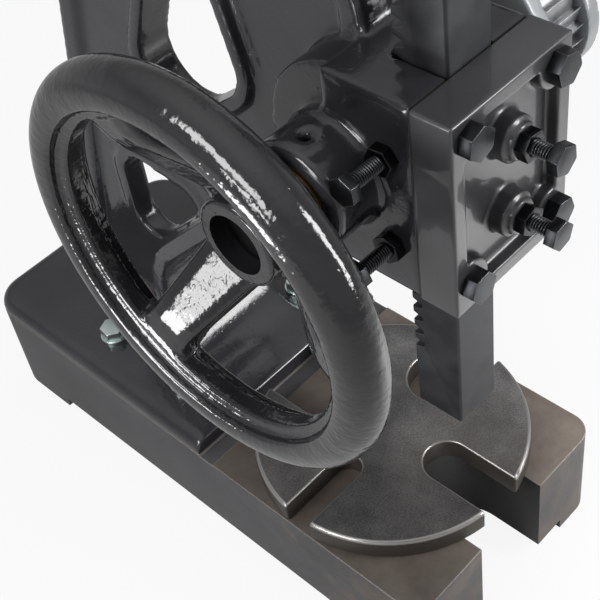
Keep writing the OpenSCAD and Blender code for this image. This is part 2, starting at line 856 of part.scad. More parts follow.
// grub screw that holds the hub on the shaft
module handwheel_grub_screw() {
    color("#2f3032") translate([-boss_reach - 13, shaft_y + shaft_r + seat_fit, shaft_z])
        rotate([-90, 0, 0]) cylinder(r = 4 - seat_fit, h = hub_r - shaft_r - 1.5);
}

// ratchet end of the shaft

module thrust_collar() {
    color("#77787a") translate([0, shaft_y, shaft_z]) difference() {
        rod_x(bearing_r - 3, stub_start, collar_end - side_gap);
        rod_x(stub_r + seat_fit, 0, lever_head_x);
    }
}

// wheel with saw teeth: each has a flat face that the pawl pushes, and a long slope
module ratchet_wheel() {
    low_r = ratchet_r - ratchet_depth;
    color("#6d6e70") translate([0, shaft_y, shaft_z]) difference() {
        side(ratchet_x, ratchet_x + ratchet_w) polygon([for (k = [0 : ratchet_teeth - 1]) each [
            polar(low_r, mesh_angle + k * tooth_angle), polar(ratchet_r, mesh_angle + k * tooth_angle)]]);
        rod_x(stub_r + seat_fit, 0, lever_head_x);
    }
}

module end_washer() {
    color("#77787a") translate([0, shaft_y, shaft_z]) difference() {
        rod_x(26, nut_start - washer_t, nut_start);
        rod_x(thread_r + seat_fit, 0, nut_start + 1);
    }
}

module end_nut() {
    color("#2f3032") translate([nut_start, shaft_y, shaft_z]) rotate([0, 90, 0]) difference() {
        intersection() {
            cylinder(r = 36 / 2 / cos(30), h = nut_t, $fn = 6);
            cylinder(r1 = 40, r2 = 19, h = nut_t + 0.5);
        }
        translate([0, 0, -1]) cylinder(r = thread_r + seat_fit, h = nut_t + 2);
    }
}

// lever and pawl

// places children on the shaft's axis, with +Y along the lever
module along_lever() {
    translate([lever_head_x - lever_cheek_t - lever_slot_w / 2, shaft_y, shaft_z])
        rotate([lever_angle, 0, 0]) children();
}

// forked casting: two cheeks on the shaft, a bridge over the ratchet and a socket for the bar
module lever_head() {
    pin_c = polar(pawl_reach, pawl_angle);
    lobe_c = polar(62, lever_angle);
    half = lever_slot_w / 2;
    wide = half + lever_cheek_t;
    color("#3a3a3c") difference() {
        union() {
            translate([lever_head_x - wide, shaft_y, shaft_z]) difference() {
                union() {
                    side(-wide, wide) egg([0, 0], lever_head_r, lobe_c, lobe_r);
                    side(-wide, wide) egg([0, 0], lever_head_r - 12, pin_c, 11);
                }
                side(-half, half) {
                    circle(ratchet_r + 3.5);
                    egg(pin_c, pawl_room, polar(pawl_reach - 2, mesh_angle - 2), 10);
                }
            }
            along_lever() translate([0, 70, 0]) rotate([-90, 0, 0])
                cylinder(r = socket_r, h = socket_end - 70);
        }
        along_lever() translate([0, bar_start - 2, 0]) rotate([-90, 0, 0])
            cylinder(r = bar_r + seat_fit, h = socket_end);
        along_lever() translate([0, socket_end - 16, 0]) cylinder(r = 5 + seat_fit, h = 40);
        translate([0, shaft_y, shaft_z]) {
            rod_x(stub_r + run_fit, 0, lever_head_x + 1);
            translate([0, pin_c[0], pin_c[1]]) rod_x(pawl_pin_r + seat_fit, 0, lever_head_x + 1);
        }
    }
}

module lever_bar() {
    color("#8a8b8d") along_lever() translate([0, bar_start, 0]) rotate([-90, 0, 0])
        cylinder(r = bar_r, h = lever_len - bar_start - knob_r);
}

module lever_knob() {
    bore = bar_r + seat_fit;
    color("#1c1c1e") along_lever() translate([0, lever_len - knob_r, 0]) rotate([-90, 0, 0])
        rotate_extrude() difference() {
            circle(knob_r);
            translate([-knob_r - 1, -knob_r - 1]) square([knob_r + 1, 2 * knob_r + 2]);
            translate([-1, -knob_r - 1]) square([bore + 1, knob_r + 1]);
        }
}

// square-topped screw that clamps the bar in its socket
module lever_clamp_screw() {
    color("#2f3032") along_lever() translate([0, socket_end - 16, bar_r + 0.2]) {
        cylinder(r = 5, h = socket_r - bar_r + 4);
        translate([-5, -5, socket_r - bar_r + 3]) cube([10, 10, 9]);
    }
}

module pawl_pin() {
    pin_c = polar(pawl_reach, pawl_angle);
    wide = lever_slot_w / 2 + lever_cheek_t;
    color("#8a8b8d") translate([0, shaft_y + pin_c[0], shaft_z + pin_c[1]]) {
        rod_x(pawl_pin_r, lever_head_x - 2 * wide - 2, lever_head_x + 2);
    }
}

// pawl drawn in mesh about the shaft's axis, then thrown out about its own pin
module pawl() {
    pin_c = polar(pawl_reach, pawl_angle);
    face = mesh_angle - 0.8;
    low_r = ratchet_r - ratchet_depth;
    color("#55565a") translate([0, shaft_y, shaft_z]) translate([0, pin_c[0], pin_c[1]])
        rotate([-pawl_swing, 0, 0]) difference() {
            side(ratchet_x + 1, ratchet_x + ratchet_w - 1) translate(-pin_c) {
                translate(pin_c) circle(10);
                polygon([polar(low_r + 0.7, face), polar(ratchet_r + 1.2, mesh_angle - tooth_angle - 0.5),
                         polar(ratchet_r + 2, 8), polar(pawl_reach - 9.5, -10),
                         polar(pawl_reach + 9.5, -12), polar(pawl_reach + 6, 4),
                         polar(pawl_reach + 2, 16), polar(pawl_reach + 16, 22),
                         polar(pawl_reach + 17, 28), polar(pawl_reach, 31), polar(pawl_reach - 5, face)]);
            }
            rod_x(pawl_pin_r + run_fit, 0, lever_head_x + 1);
        }
}

base();
anvil_pin();
column();
foot_bolts();
foot_washers();
left_bush();
right_bearing();
cover_plate();
cover_bolts();
front_gib();
front_gib_screws();
front_jam_nuts();
side_gib_pads();
side_gib_screws();
side_jam_nuts();
anvil_disc();
ram();
pinion_shaft();
handwheel();
handwheel_grub_screw();
thrust_collar();
ratchet_wheel();
end_washer();
end_nut();
lever_head();
lever_bar();
lever_knob();
lever_clamp_screw();
pawl_pin();
pawl();
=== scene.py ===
import bpy, json
from math import radians, sin, cos, pi
from mathutils import Vector, Matrix


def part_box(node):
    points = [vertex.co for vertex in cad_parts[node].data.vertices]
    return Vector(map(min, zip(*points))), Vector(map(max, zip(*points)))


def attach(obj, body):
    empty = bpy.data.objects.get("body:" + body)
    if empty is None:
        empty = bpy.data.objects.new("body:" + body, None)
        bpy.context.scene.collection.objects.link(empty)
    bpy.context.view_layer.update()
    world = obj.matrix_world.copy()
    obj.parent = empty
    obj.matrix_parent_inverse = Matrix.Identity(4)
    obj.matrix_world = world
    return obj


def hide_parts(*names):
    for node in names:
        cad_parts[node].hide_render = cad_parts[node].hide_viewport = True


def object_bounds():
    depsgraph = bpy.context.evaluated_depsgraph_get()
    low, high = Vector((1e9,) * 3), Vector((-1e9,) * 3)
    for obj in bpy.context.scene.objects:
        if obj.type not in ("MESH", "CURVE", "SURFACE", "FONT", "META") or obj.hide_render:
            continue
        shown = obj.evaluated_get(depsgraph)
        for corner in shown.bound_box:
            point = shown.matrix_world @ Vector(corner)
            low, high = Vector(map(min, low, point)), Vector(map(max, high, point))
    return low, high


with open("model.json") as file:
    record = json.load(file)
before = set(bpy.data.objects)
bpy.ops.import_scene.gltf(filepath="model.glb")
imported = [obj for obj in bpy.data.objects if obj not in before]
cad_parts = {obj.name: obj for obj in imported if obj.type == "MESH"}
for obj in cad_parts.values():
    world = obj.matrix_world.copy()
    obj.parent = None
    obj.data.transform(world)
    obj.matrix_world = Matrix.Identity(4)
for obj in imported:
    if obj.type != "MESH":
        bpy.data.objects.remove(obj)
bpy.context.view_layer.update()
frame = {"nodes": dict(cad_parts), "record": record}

nodes = frame["nodes"]
mm = 0.001
ops = bpy.ops


def middle(node):
    lo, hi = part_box(node)
    return (lo + hi) / 2


shaft = Vector((0, middle("pinion_shaft").y, middle("pinion_shaft").z))


def hexColour(code):
    # sRGB hex to the linear colour that a shader socket takes
    parts = [int(code[i:i + 2], 16) / 255 for i in (1, 3, 5)]
    return tuple(c / 12.92 if c <= 0.04045 else ((c + 0.055) / 1.055) ** 2.4 for c in parts) + (1,)


def addNode(tree, kind, settings=None, inputs=None, stops=None):
    # settings are the node's properties, inputs are values or sockets to link, stops fill a colour ramp
    node = tree.nodes.new("ShaderNode" + kind)
    for name, value in (settings or {}).items():
        setattr(node, name, value)
    for name, value in (inputs or {}).items():
        socket = node.inputs[name]
        if isinstance(value, bpy.types.NodeSocket):
            tree.links.new(value, socket)
        else:
            socket.default_value = hexColour(value) if isinstance(value, str) else value
    for i, (place, colour) in enumerate(stops or []):
        marks = node.color_ramp.elements
        mark = marks[i] if i < len(marks) else marks.new(place)
        mark.position = place
        mark.color = hexColour(colour) if isinstance(colour, str) else (colour, colour, colour, 1)
    return node


def newMaterial(name):
    material = bpy.data.materials.new(name)
    material.use_nodes = True
    tree = material.node_tree
    tree.nodes.clear()
    coords = addNode(tree, "TexCoord").outputs["Object"]
    return material, tree, coords


def giveMaterial(obj, material):
    if not obj.data.materials:
        obj.data.materials.append(material)
    for i in range(len(obj.data.materials)):
        obj.data.materials[i] = material


def pick(*objs):
    ops.object.select_all(action="DESELECT")
    for obj in objs:
        obj.select_set(True)
    bpy.context.view_layer.objects.active = objs[0]


def applyAll(obj):
    pick(obj)
    for modifier in list(obj.modifiers):
        ops.object.modifier_apply(modifier=modifier.name)


def settle(obj, name=None):
    # the object's place goes into its mesh
    pick(obj)
    ops.object.transform_apply(location=True, rotation=True, scale=True)
    if name:
        obj.name = obj.data.name = name
    return obj


def copyOf(nodeName, newName):
    # a merged copy of a CAD node, ready for modelling
    source = nodes[nodeName]
    obj = bpy.data.objects.new(newName, source.data.copy())
    obj.data.name = newName
    bpy.context.scene.collection.objects.link(obj)
    pick(obj)
    ops.object.mode_set(mode="EDIT")
    ops.mesh.select_all(action="SELECT")
    ops.mesh.remove_doubles(threshold=0.01 * mm)
    ops.mesh.dissolve_limited(angle_limit=radians(0.4))
    ops.object.mode_set(mode="OBJECT")
    return obj


def selectVerts(obj, test):
    # enters edit mode with the vertices chosen by their place
    pick(obj)
    ops.object.mode_set(mode="EDIT")
    ops.mesh.select_mode(type="VERT")
    ops.mesh.select_all(action="DESELECT")
    ops.object.mode_set(mode="OBJECT")
    for v in obj.data.vertices:
        v.select = test(v.co)
    ops.object.mode_set(mode="EDIT")


def cut(obj, tool, operation="DIFFERENCE"):
    boolean = obj.modifiers.new("cut", "BOOLEAN")
    boolean.operation, boolean.object, boolean.solver = operation, tool, "EXACT"
    applyAll(obj)
    bpy.data.objects.remove(tool)


def castSkin(obj, voxelMm, rounds):
    # runs solids together and rounds their corners as a sand mould does
    remesh = obj.modifiers.new("remesh", "REMESH")
    remesh.mode = "VOXEL"
    remesh.voxel_size = voxelMm * mm
    smooth = obj.modifiers.new("smooth", "SMOOTH")
    smooth.factor, smooth.iterations = 0.5, rounds
    applyAll(obj)


def softEdges(obj, widthMm, segments=2, angle=30):
    bevel = obj.modifiers.new("edges", "BEVEL")
    bevel.width, bevel.segments, bevel.limit_method = widthMm * mm, segments, "ANGLE"
    bevel.angle_limit = radians(angle)
    bevel.harden_normals = False
    applyAll(obj)


def finishPiece(obj, body, node, material, angle):
    pick(obj)
    ops.object.shade_smooth_by_angle(angle=radians(angle))
    giveMaterial(obj, material)
    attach(obj, body)
    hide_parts(node)
    print(obj.name, len(obj.data.polygons), "faces")


# values ending in Mm are the size of a pattern, those in Deep how far it stands, both in mm
castIron = {
    "column": {"name": "gloss enamel brushed on cast iron", "dark": "#1e1e21", "light": "#2b2b2f",
               "lumpMm": 24, "lumpDeep": 0.5, "peelMm": 3, "peelDeep": 0.05, "nibDeep": 0.12,
               "roughness": 0.16, "coat": 0.15, "seamShade": 0.1},
    "wheel": {"name": "black stove enamel on cast iron", "dark": "#161618", "light": "#212123",
              "lumpMm": 12, "lumpDeep": 0.6, "peelMm": 3, "peelDeep": 0.08, "nibDeep": 0.12,
              "rippleMm": 5, "rippleWideMm": 22.2, "ripplePatchMm": 71.4, "rippleDeep": 0.42,
              "rimRadius": 120, "rimFrom": 94, "rimFull": 100, "roughness": 0.12, "coat": 0.15},
    "cover": {"name": "half gloss enamel on machined cast iron", "dark": "#2a2a2c", "light": "#39393c",
              "lumpMm": 30, "lumpDeep": 0.2, "peelMm": 2.5, "peelDeep": 0.03, "nibDeep": 0.05,
              "roughness": 0.38, "coat": 0.5, "seamShade": 0.1},
    "lever": {"name": "light grey enamel on cast iron", "dark": "#85888b", "light": "#a0a4a8",
              "lumpMm": 30, "lumpDeep": 0.3, "peelMm": 3, "peelDeep": 0.04, "nibDeep": 0.06,
              "roughness": 0.3, "coat": 0.3},
}
enamelWork = {"toneMm": 111, "nibMm": 6.25, "nibSize": 0.22, "ior": 1.5, "coatRoughness": 0.035,
              "seamMm": 0.7, "seamClearMm": 1.8, "seamRoughness": 0.9}


def makeEnamel(spec):
    # enamel brushed over a sand casting: deep gloss, slow waves from the sand, brush ripple, a few dust nibs
    work = enamelWork
    material, tree, coords = newMaterial(spec["name"])
    tone = addNode(tree, "TexNoise", None, {"Vector": coords, "Scale": 1000 / work["toneMm"], "Detail": 5.0})
    colour = addNode(tree, "ValToRGB", None, {"Fac": tone.outputs["Fac"]},
                     [(0.35, spec["dark"]), (0.7, spec["light"])])
    paint, sheen = colour.outputs["Color"], spec["roughness"]
    if "seamShade" in spec:
        # painted shade: a dark dull line where the cover meets the head
        where = addNode(tree, "SeparateXYZ", None, {"Vector": coords})
        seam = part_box("cover_plate")[1].y
        off = addNode(tree, "Math", {"operation": "SUBTRACT"}, {0: where.outputs["Y"], 1: seam})
        far = addNode(tree, "Math", {"operation": "ABSOLUTE"}, {0: off.outputs[0]})
        near, clear = work["seamMm"] * mm, work["seamClearMm"] * mm
        seamShading = addNode(tree, "MapRange", None, {
            "Value": far.outputs[0], "From Min": near, "From Max": clear, "To Min": spec["seamShade"]})
        dull = addNode(tree, "MapRange", None, {
            "Value": far.outputs[0], "From Min": near, "From Max": clear,
            "To Min": work["seamRoughness"], "To Max": spec["roughness"]})
        seamed = addNode(tree, "Mix", {"data_type": "RGBA", "blend_type": "MULTIPLY"},
                         {"Factor": 1.0, 6: paint, 7: seamShading.outputs["Result"]})
        paint, sheen = seamed.outputs[2], dull.outputs["Result"]
    lumps = addNode(tree, "TexNoise", None, {
        "Vector": coords, "Scale": 1000 / spec["lumpMm"], "Detail": 3.0, "Roughness": 0.45})
    peel = addNode(tree, "TexNoise", None, {"Vector": coords, "Scale": 1000 / spec["peelMm"], "Detail": 1.0})
    grit = addNode(tree, "TexVoronoi", None, {"Vector": coords, "Scale": 1000 / work["nibMm"]})
    nib = addNode(tree, "MapRange", None, {
        "Value": grit.outputs["Distance"], "From Max": work["nibSize"], "To Min": 1.0, "To Max": 0.0})
    waves = [(lumps.outputs["Fac"], spec["lumpDeep"]), (peel.outputs["Fac"], spec["peelDeep"]),
             (nib.outputs["Result"], spec["nibDeep"])]
    if "rippleMm" in spec:
        # ripples across the rim, laid out by the angle round the shaft
        place = addNode(tree, "SeparateXYZ", None, {"Vector": coords})
        y = addNode(tree, "Math", {"operation": "SUBTRACT"}, {0: place.outputs["Y"], 1: shaft.y})
        z = addNode(tree, "Math", {"operation": "SUBTRACT"}, {0: place.outputs["Z"], 1: shaft.z})
        turn = addNode(tree, "Math", {"operation": "ARCTAN2"}, {0: y.outputs[0], 1: z.outputs[0]})
        along = addNode(tree, "Math", {"operation": "MULTIPLY"},
                        {0: turn.outputs[0], 1: spec["rimRadius"] / spec["rippleMm"]})
        across = addNode(tree, "Math", {"operation": "MULTIPLY"},
                         {0: place.outputs["X"], 1: 1000 / spec["rippleWideMm"]})
        strip = addNode(tree, "CombineXYZ", None,
                        {"X": along.outputs[0], "Y": across.outputs[0], "Z": y.outputs[0]})
        ripple = addNode(tree, "TexNoise", None, {"Vector": strip.outputs["Vector"], "Scale": 1.0, "Detail": 1.5})
        patch = addNode(tree, "TexNoise", None,
                        {"Vector": coords, "Scale": 1000 / spec["ripplePatchMm"], "Detail": 1.0})
        here = addNode(tree, "MapRange", None, {
            "Value": patch.outputs["Fac"], "From Min": 0.35, "From Max": 0.65, "To Min": 0.25})
        # the spokes and the hub stay smooth
        arm = addNode(tree, "CombineXYZ", None, {"Y": y.outputs[0], "Z": z.outputs[0]})
        radius = addNode(tree, "VectorMath", {"operation": "LENGTH"}, {0: arm.outputs["Vector"]})
        onRim = addNode(tree, "MapRange", None, {
            "Value": radius.outputs["Value"], "From Min": spec["rimFrom"] * mm, "From Max": spec["rimFull"] * mm})
        rimmed = addNode(tree, "Math", {"operation": "MULTIPLY"},
                         {0: here.outputs["Result"], 1: onRim.outputs["Result"]})
        wave = addNode(tree, "Math", {"operation": "MULTIPLY"}, {0: ripple.outputs["Fac"], 1: rimmed.outputs[0]})
        waves.append((wave.outputs[0], spec["rippleDeep"]))
    normal = None
    for height, deep in waves:
        inputs = {"Strength": 1.0, "Distance": deep * mm, "Height": height}
        if normal:
            inputs["Normal"] = normal
        normal = addNode(tree, "Bump", None, inputs).outputs["Normal"]
    gloss = addNode(tree, "BsdfPrincipled", None, {
        "Base Color": paint, "Roughness": sheen, "IOR": work["ior"], "Coat Weight": spec["coat"],
        "Coat Roughness": work["coatRoughness"], "Coat IOR": work["ior"], "Normal": normal})
    addNode(tree, "OutputMaterial", None, {"Surface": gloss.outputs["BSDF"]})
    return material


columnEnamel = makeEnamel(castIron["column"])
wheelEnamel = makeEnamel(castIron["wheel"])
coverEnamel = makeEnamel(castIron["cover"])
leverEnamel = makeEnamel(castIron["lever"])

steels = {
    "oxide": {"name": "black oxide steel", "low": "#2a2b2d", "high": "#434547", "worn": "#8a8c8e",
              "roughness": 0.34, "grainMm": 0.8},
    "nut": {"name": "black oxide nut steel", "low": "#1e1f20", "high": "#303133", "worn": "#57595b",
            "roughness": 0.34, "grainMm": 0.8},
    "ram": {"name": "drawn steel bar", "low": "#404143", "high": "#505153", "worn": "#7c7e80",
            "roughness": 0.5, "grainMm": 1.2},
    # painted shade: the shaft's steel is darkened so its end looks black deep in the hub's bore
    "shaft": {"name": "oily shaft steel", "low": "#161617", "high": "#232425", "worn": "#3d3e40",
              "roughness": 0.4, "grainMm": 0.8},
    "turned": {"name": "turned steel", "low": "#8f9092", "high": "#b4b5b7", "worn": "#c8c9cb",
               "roughness": 0.3, "grainMm": 0.6},
    "zinc": {"name": "zinc plated steel", "low": "#a9b9b6", "high": "#cfdad6", "worn": "#e4ebe8",
             "roughness": 0.28, "grainMm": 0.6},
    "bronze": {"name": "bearing bronze", "low": "#8a6a3a", "high": "#b08d55", "worn": "#c9a96e",
               "roughness": 0.4, "grainMm": 0.6},
}
steelWork = {"stainMm": 16.67, "edgeMm": 0.6, "smoother": 0.08, "rougher": 0.12, "grainDeep": 0.1}


def wornEdge(tree, widthMm):
    # 1 along convex and concave corners, 0 on flats
    soft = addNode(tree, "Bevel", {"samples": 6}, {"Radius": widthMm * mm})
    true = addNode(tree, "NewGeometry")
    lean = addNode(tree, "VectorMath", {"operation": "DOT_PRODUCT"},
                   {0: soft.outputs["Normal"], 1: true.outputs["True Normal"]})
    edge = addNode(tree, "MapRange", None, {"Value": lean.outputs["Value"], "From Min": 0.97, "From Max": 0.82})
    return edge.outputs["Result"], soft.outputs["Normal"]


def makeSteel(spec):
    # steel: slow stain, fine grain, corners rubbed bright
    work = steelWork
    material, tree, coords = newMaterial(spec["name"])
    stain = addNode(tree, "TexNoise", None, {"Vector": coords, "Scale": 1000 / work["stainMm"], "Detail": 6.0})
    colour = addNode(tree, "ValToRGB", None, {"Fac": stain.outputs["Fac"]},
                     [(0.3, spec["low"]), (0.72, spec["high"])])
    edge, soft = wornEdge(tree, work["edgeMm"])
    rubbed = addNode(tree, "Mix", {"data_type": "RGBA"},
                     {"Factor": edge, 6: colour.outputs["Color"], 7: spec["worn"]})
    grain = addNode(tree, "TexNoise", None, {"Vector": coords, "Scale": 1000 / spec["grainMm"], "Detail": 2.0})
    rough = addNode(tree, "MapRange", None, {
        "Value": stain.outputs["Fac"], "To Min": spec["roughness"] - work["smoother"],
        "To Max": spec["roughness"] + work["rougher"]})
    bump = addNode(tree, "Bump", None, {
        "Strength": 0.2, "Distance": work["grainDeep"] * mm, "Height": grain.outputs["Fac"], "Normal": soft})
    metal = addNode(tree, "BsdfPrincipled", None, {
        "Base Color": rubbed.outputs[2], "Metallic": 1.0, "Roughness": rough.outputs["Result"],
        "Normal": bump.outputs["Normal"]})
    addNode(tree, "OutputMaterial", None, {"Surface": metal.outputs["BSDF"]})
    return material


oxideSteel, nutSteel, ramSteel, shadedShaftSteel, turnedSteel, zincSteel, bronze = [
    makeSteel(spec) for spec in steels.values()]

discLook = {"pale": "#7e7d7c", "mid": "#5e5d5d", "dark": "#464545", "tan": "#716962", "edge": "#868482",
            "wall": "#47433f", "blotchMm": 62.5, "speckMm": 1.43, "tanMm": 167,
            # painted light: how much brighter the top is lit, from left to right
            "litLeft": -40, "litRight": 90, "dullest": 0.86, "brightest": 1.3,
            "metallic": 0.75, "smooth": 0.34, "rough": 0.6, "edgeRoughness": 0.33, "speckDeep": 0.12}


def makeDiscIron():
    # ground cast iron gone grey with oil and handling: blotches, fine speckle, painted light brighter on the
    # right, bright bevel, dark sides
    s = discLook
    material, tree, coords = newMaterial("ground cast iron")
    blotch = addNode(tree, "TexNoise", None, {
        "Vector": coords, "Scale": 1000 / s["blotchMm"], "Detail": 8.0, "Roughness": 0.62})
    colour = addNode(tree, "ValToRGB", None, {"Fac": blotch.outputs["Fac"]},
                     [(0.3, s["dark"]), (0.5, s["mid"]), (0.75, s["pale"])])
    speck = addNode(tree, "TexNoise", None, {"Vector": coords, "Scale": 1000 / s["speckMm"], "Detail": 3.0})
    speckle = addNode(tree, "ValToRGB", None, {"Fac": speck.outputs["Fac"]}, [(0.36, 0.55), (0.62, 1.1)])
    spotted = addNode(tree, "Mix", {"data_type": "RGBA", "blend_type": "MULTIPLY"},
                      {"Factor": 0.8, 6: colour.outputs["Color"], 7: speckle.outputs["Color"]})
    tanPlace = addNode(tree, "TexNoise", None, {"Vector": coords, "Scale": 1000 / s["tanMm"], "Detail": 3.0})
    tanShare = addNode(tree, "MapRange", None, {
        "Value": tanPlace.outputs["Fac"], "From Min": 0.5, "From Max": 0.75, "To Max": 0.3})
    tanned = addNode(tree, "Mix", {"data_type": "RGBA"},
                     {"Factor": tanShare.outputs["Result"], 6: spotted.outputs[2], 7: s["tan"]})
    # painted light: the top is brighter towards the right
    place = addNode(tree, "SeparateXYZ", None, {"Vector": coords})
    sideLight = addNode(tree, "MapRange", None, {
        "Value": place.outputs["X"], "From Min": s["litLeft"] * mm, "From Max": s["litRight"] * mm,
        "To Min": s["dullest"], "To Max": s["brightest"]})
    bright = addNode(tree, "Mix", {"data_type": "RGBA", "blend_type": "MULTIPLY", "clamp_result": False},
                     {"Factor": 1.0, 6: tanned.outputs[2], 7: sideLight.outputs["Result"]})
    # the sides and the slots' walls are dark, and only the bevel between them and the top is rubbed
    shape = addNode(tree, "NewGeometry")
    facing = addNode(tree, "SeparateXYZ", None, {"Vector": shape.outputs["True Normal"]})
    upright = addNode(tree, "MapRange", None, {"Value": facing.outputs["Z"], "From Min": 0.35, "From Max": 0.1})
    walled = addNode(tree, "Mix", {"data_type": "RGBA"},
                     {"Factor": upright.outputs["Result"], 6: bright.outputs[2], 7: s["wall"]})
    level = addNode(tree, "MapRange", None, {"Value": facing.outputs["Z"], "From Min": 0.985, "From Max": 0.93})
    steep = addNode(tree, "MapRange", None, {"Value": facing.outputs["Z"], "From Min": 0.12, "From Max": 0.3})
    bevelled = addNode(tree, "Math", {"operation": "MULTIPLY"},
                       {0: level.outputs["Result"], 1: steep.outputs["Result"]})
    edge, soft = bevelled.outputs[0], wornEdge(tree, 1.0)[1]
    rubbed = addNode(tree, "Mix", {"data_type": "RGBA"}, {"Factor": edge, 6: walled.outputs[2], 7: s["edge"]})
    grain = addNode(tree, "MapRange", None, {
        "Value": speck.outputs["Fac"], "To Min": s["smooth"], "To Max": s["rough"]})
    rough = addNode(tree, "Mix", {"data_type": "FLOAT"},
                    {0: edge, 2: grain.outputs["Result"], 3: s["edgeRoughness"]})
    bump = addNode(tree, "Bump", None, {
        "Strength": 0.35, "Distance": s["speckDeep"] * mm, "Height": speck.outputs["Fac"], "Normal": soft})
    metal = addNode(tree, "BsdfPrincipled", None, {
        "Base Color": rubbed.outputs[2], "Metallic": s["metallic"], "Roughness": rough.outputs[0],
        "Normal": bump.outputs["Normal"]})
    addNode(tree, "OutputMaterial", None, {"Surface": metal.outputs["BSDF"]})
    return material


discIron = makeDiscIron()

baseLook = {"paint": "#2d2d2f", "paintLight": "#3e3e40", "brown": "#554c45", "brownDark": "#3a332e",
            "machined": "#6f665e", "machinedDark": "#574e47", "edge": "#8d8782", "gapShade": "#0e0d0c",
            "patchMm": 71.4, "wearMm": 41.7, "sandMm": 3.85, "sandDeep": 0.35, "edgeMm": 1.5, "edgeShare": 0.5,
            # wear grows towards the front, and from this far under the top down
            "wearBack": 120, "wearFront": -100, "wearAhead": 0.25,
            "wearUnder": 60, "wearLow": 110, "wearDown": 0.3,
            "toneLeft": -50, "toneRight": 80, "toneDark": 0.42, "tonePale": 0.85,
            # the gap's dark colour and the last two values paint shade on the right wall of the gap, from its
            # front to full
            "smooth": 0.36, "rough": 0.58, "gapShadeFront": -150, "gapShadeFull": -118}


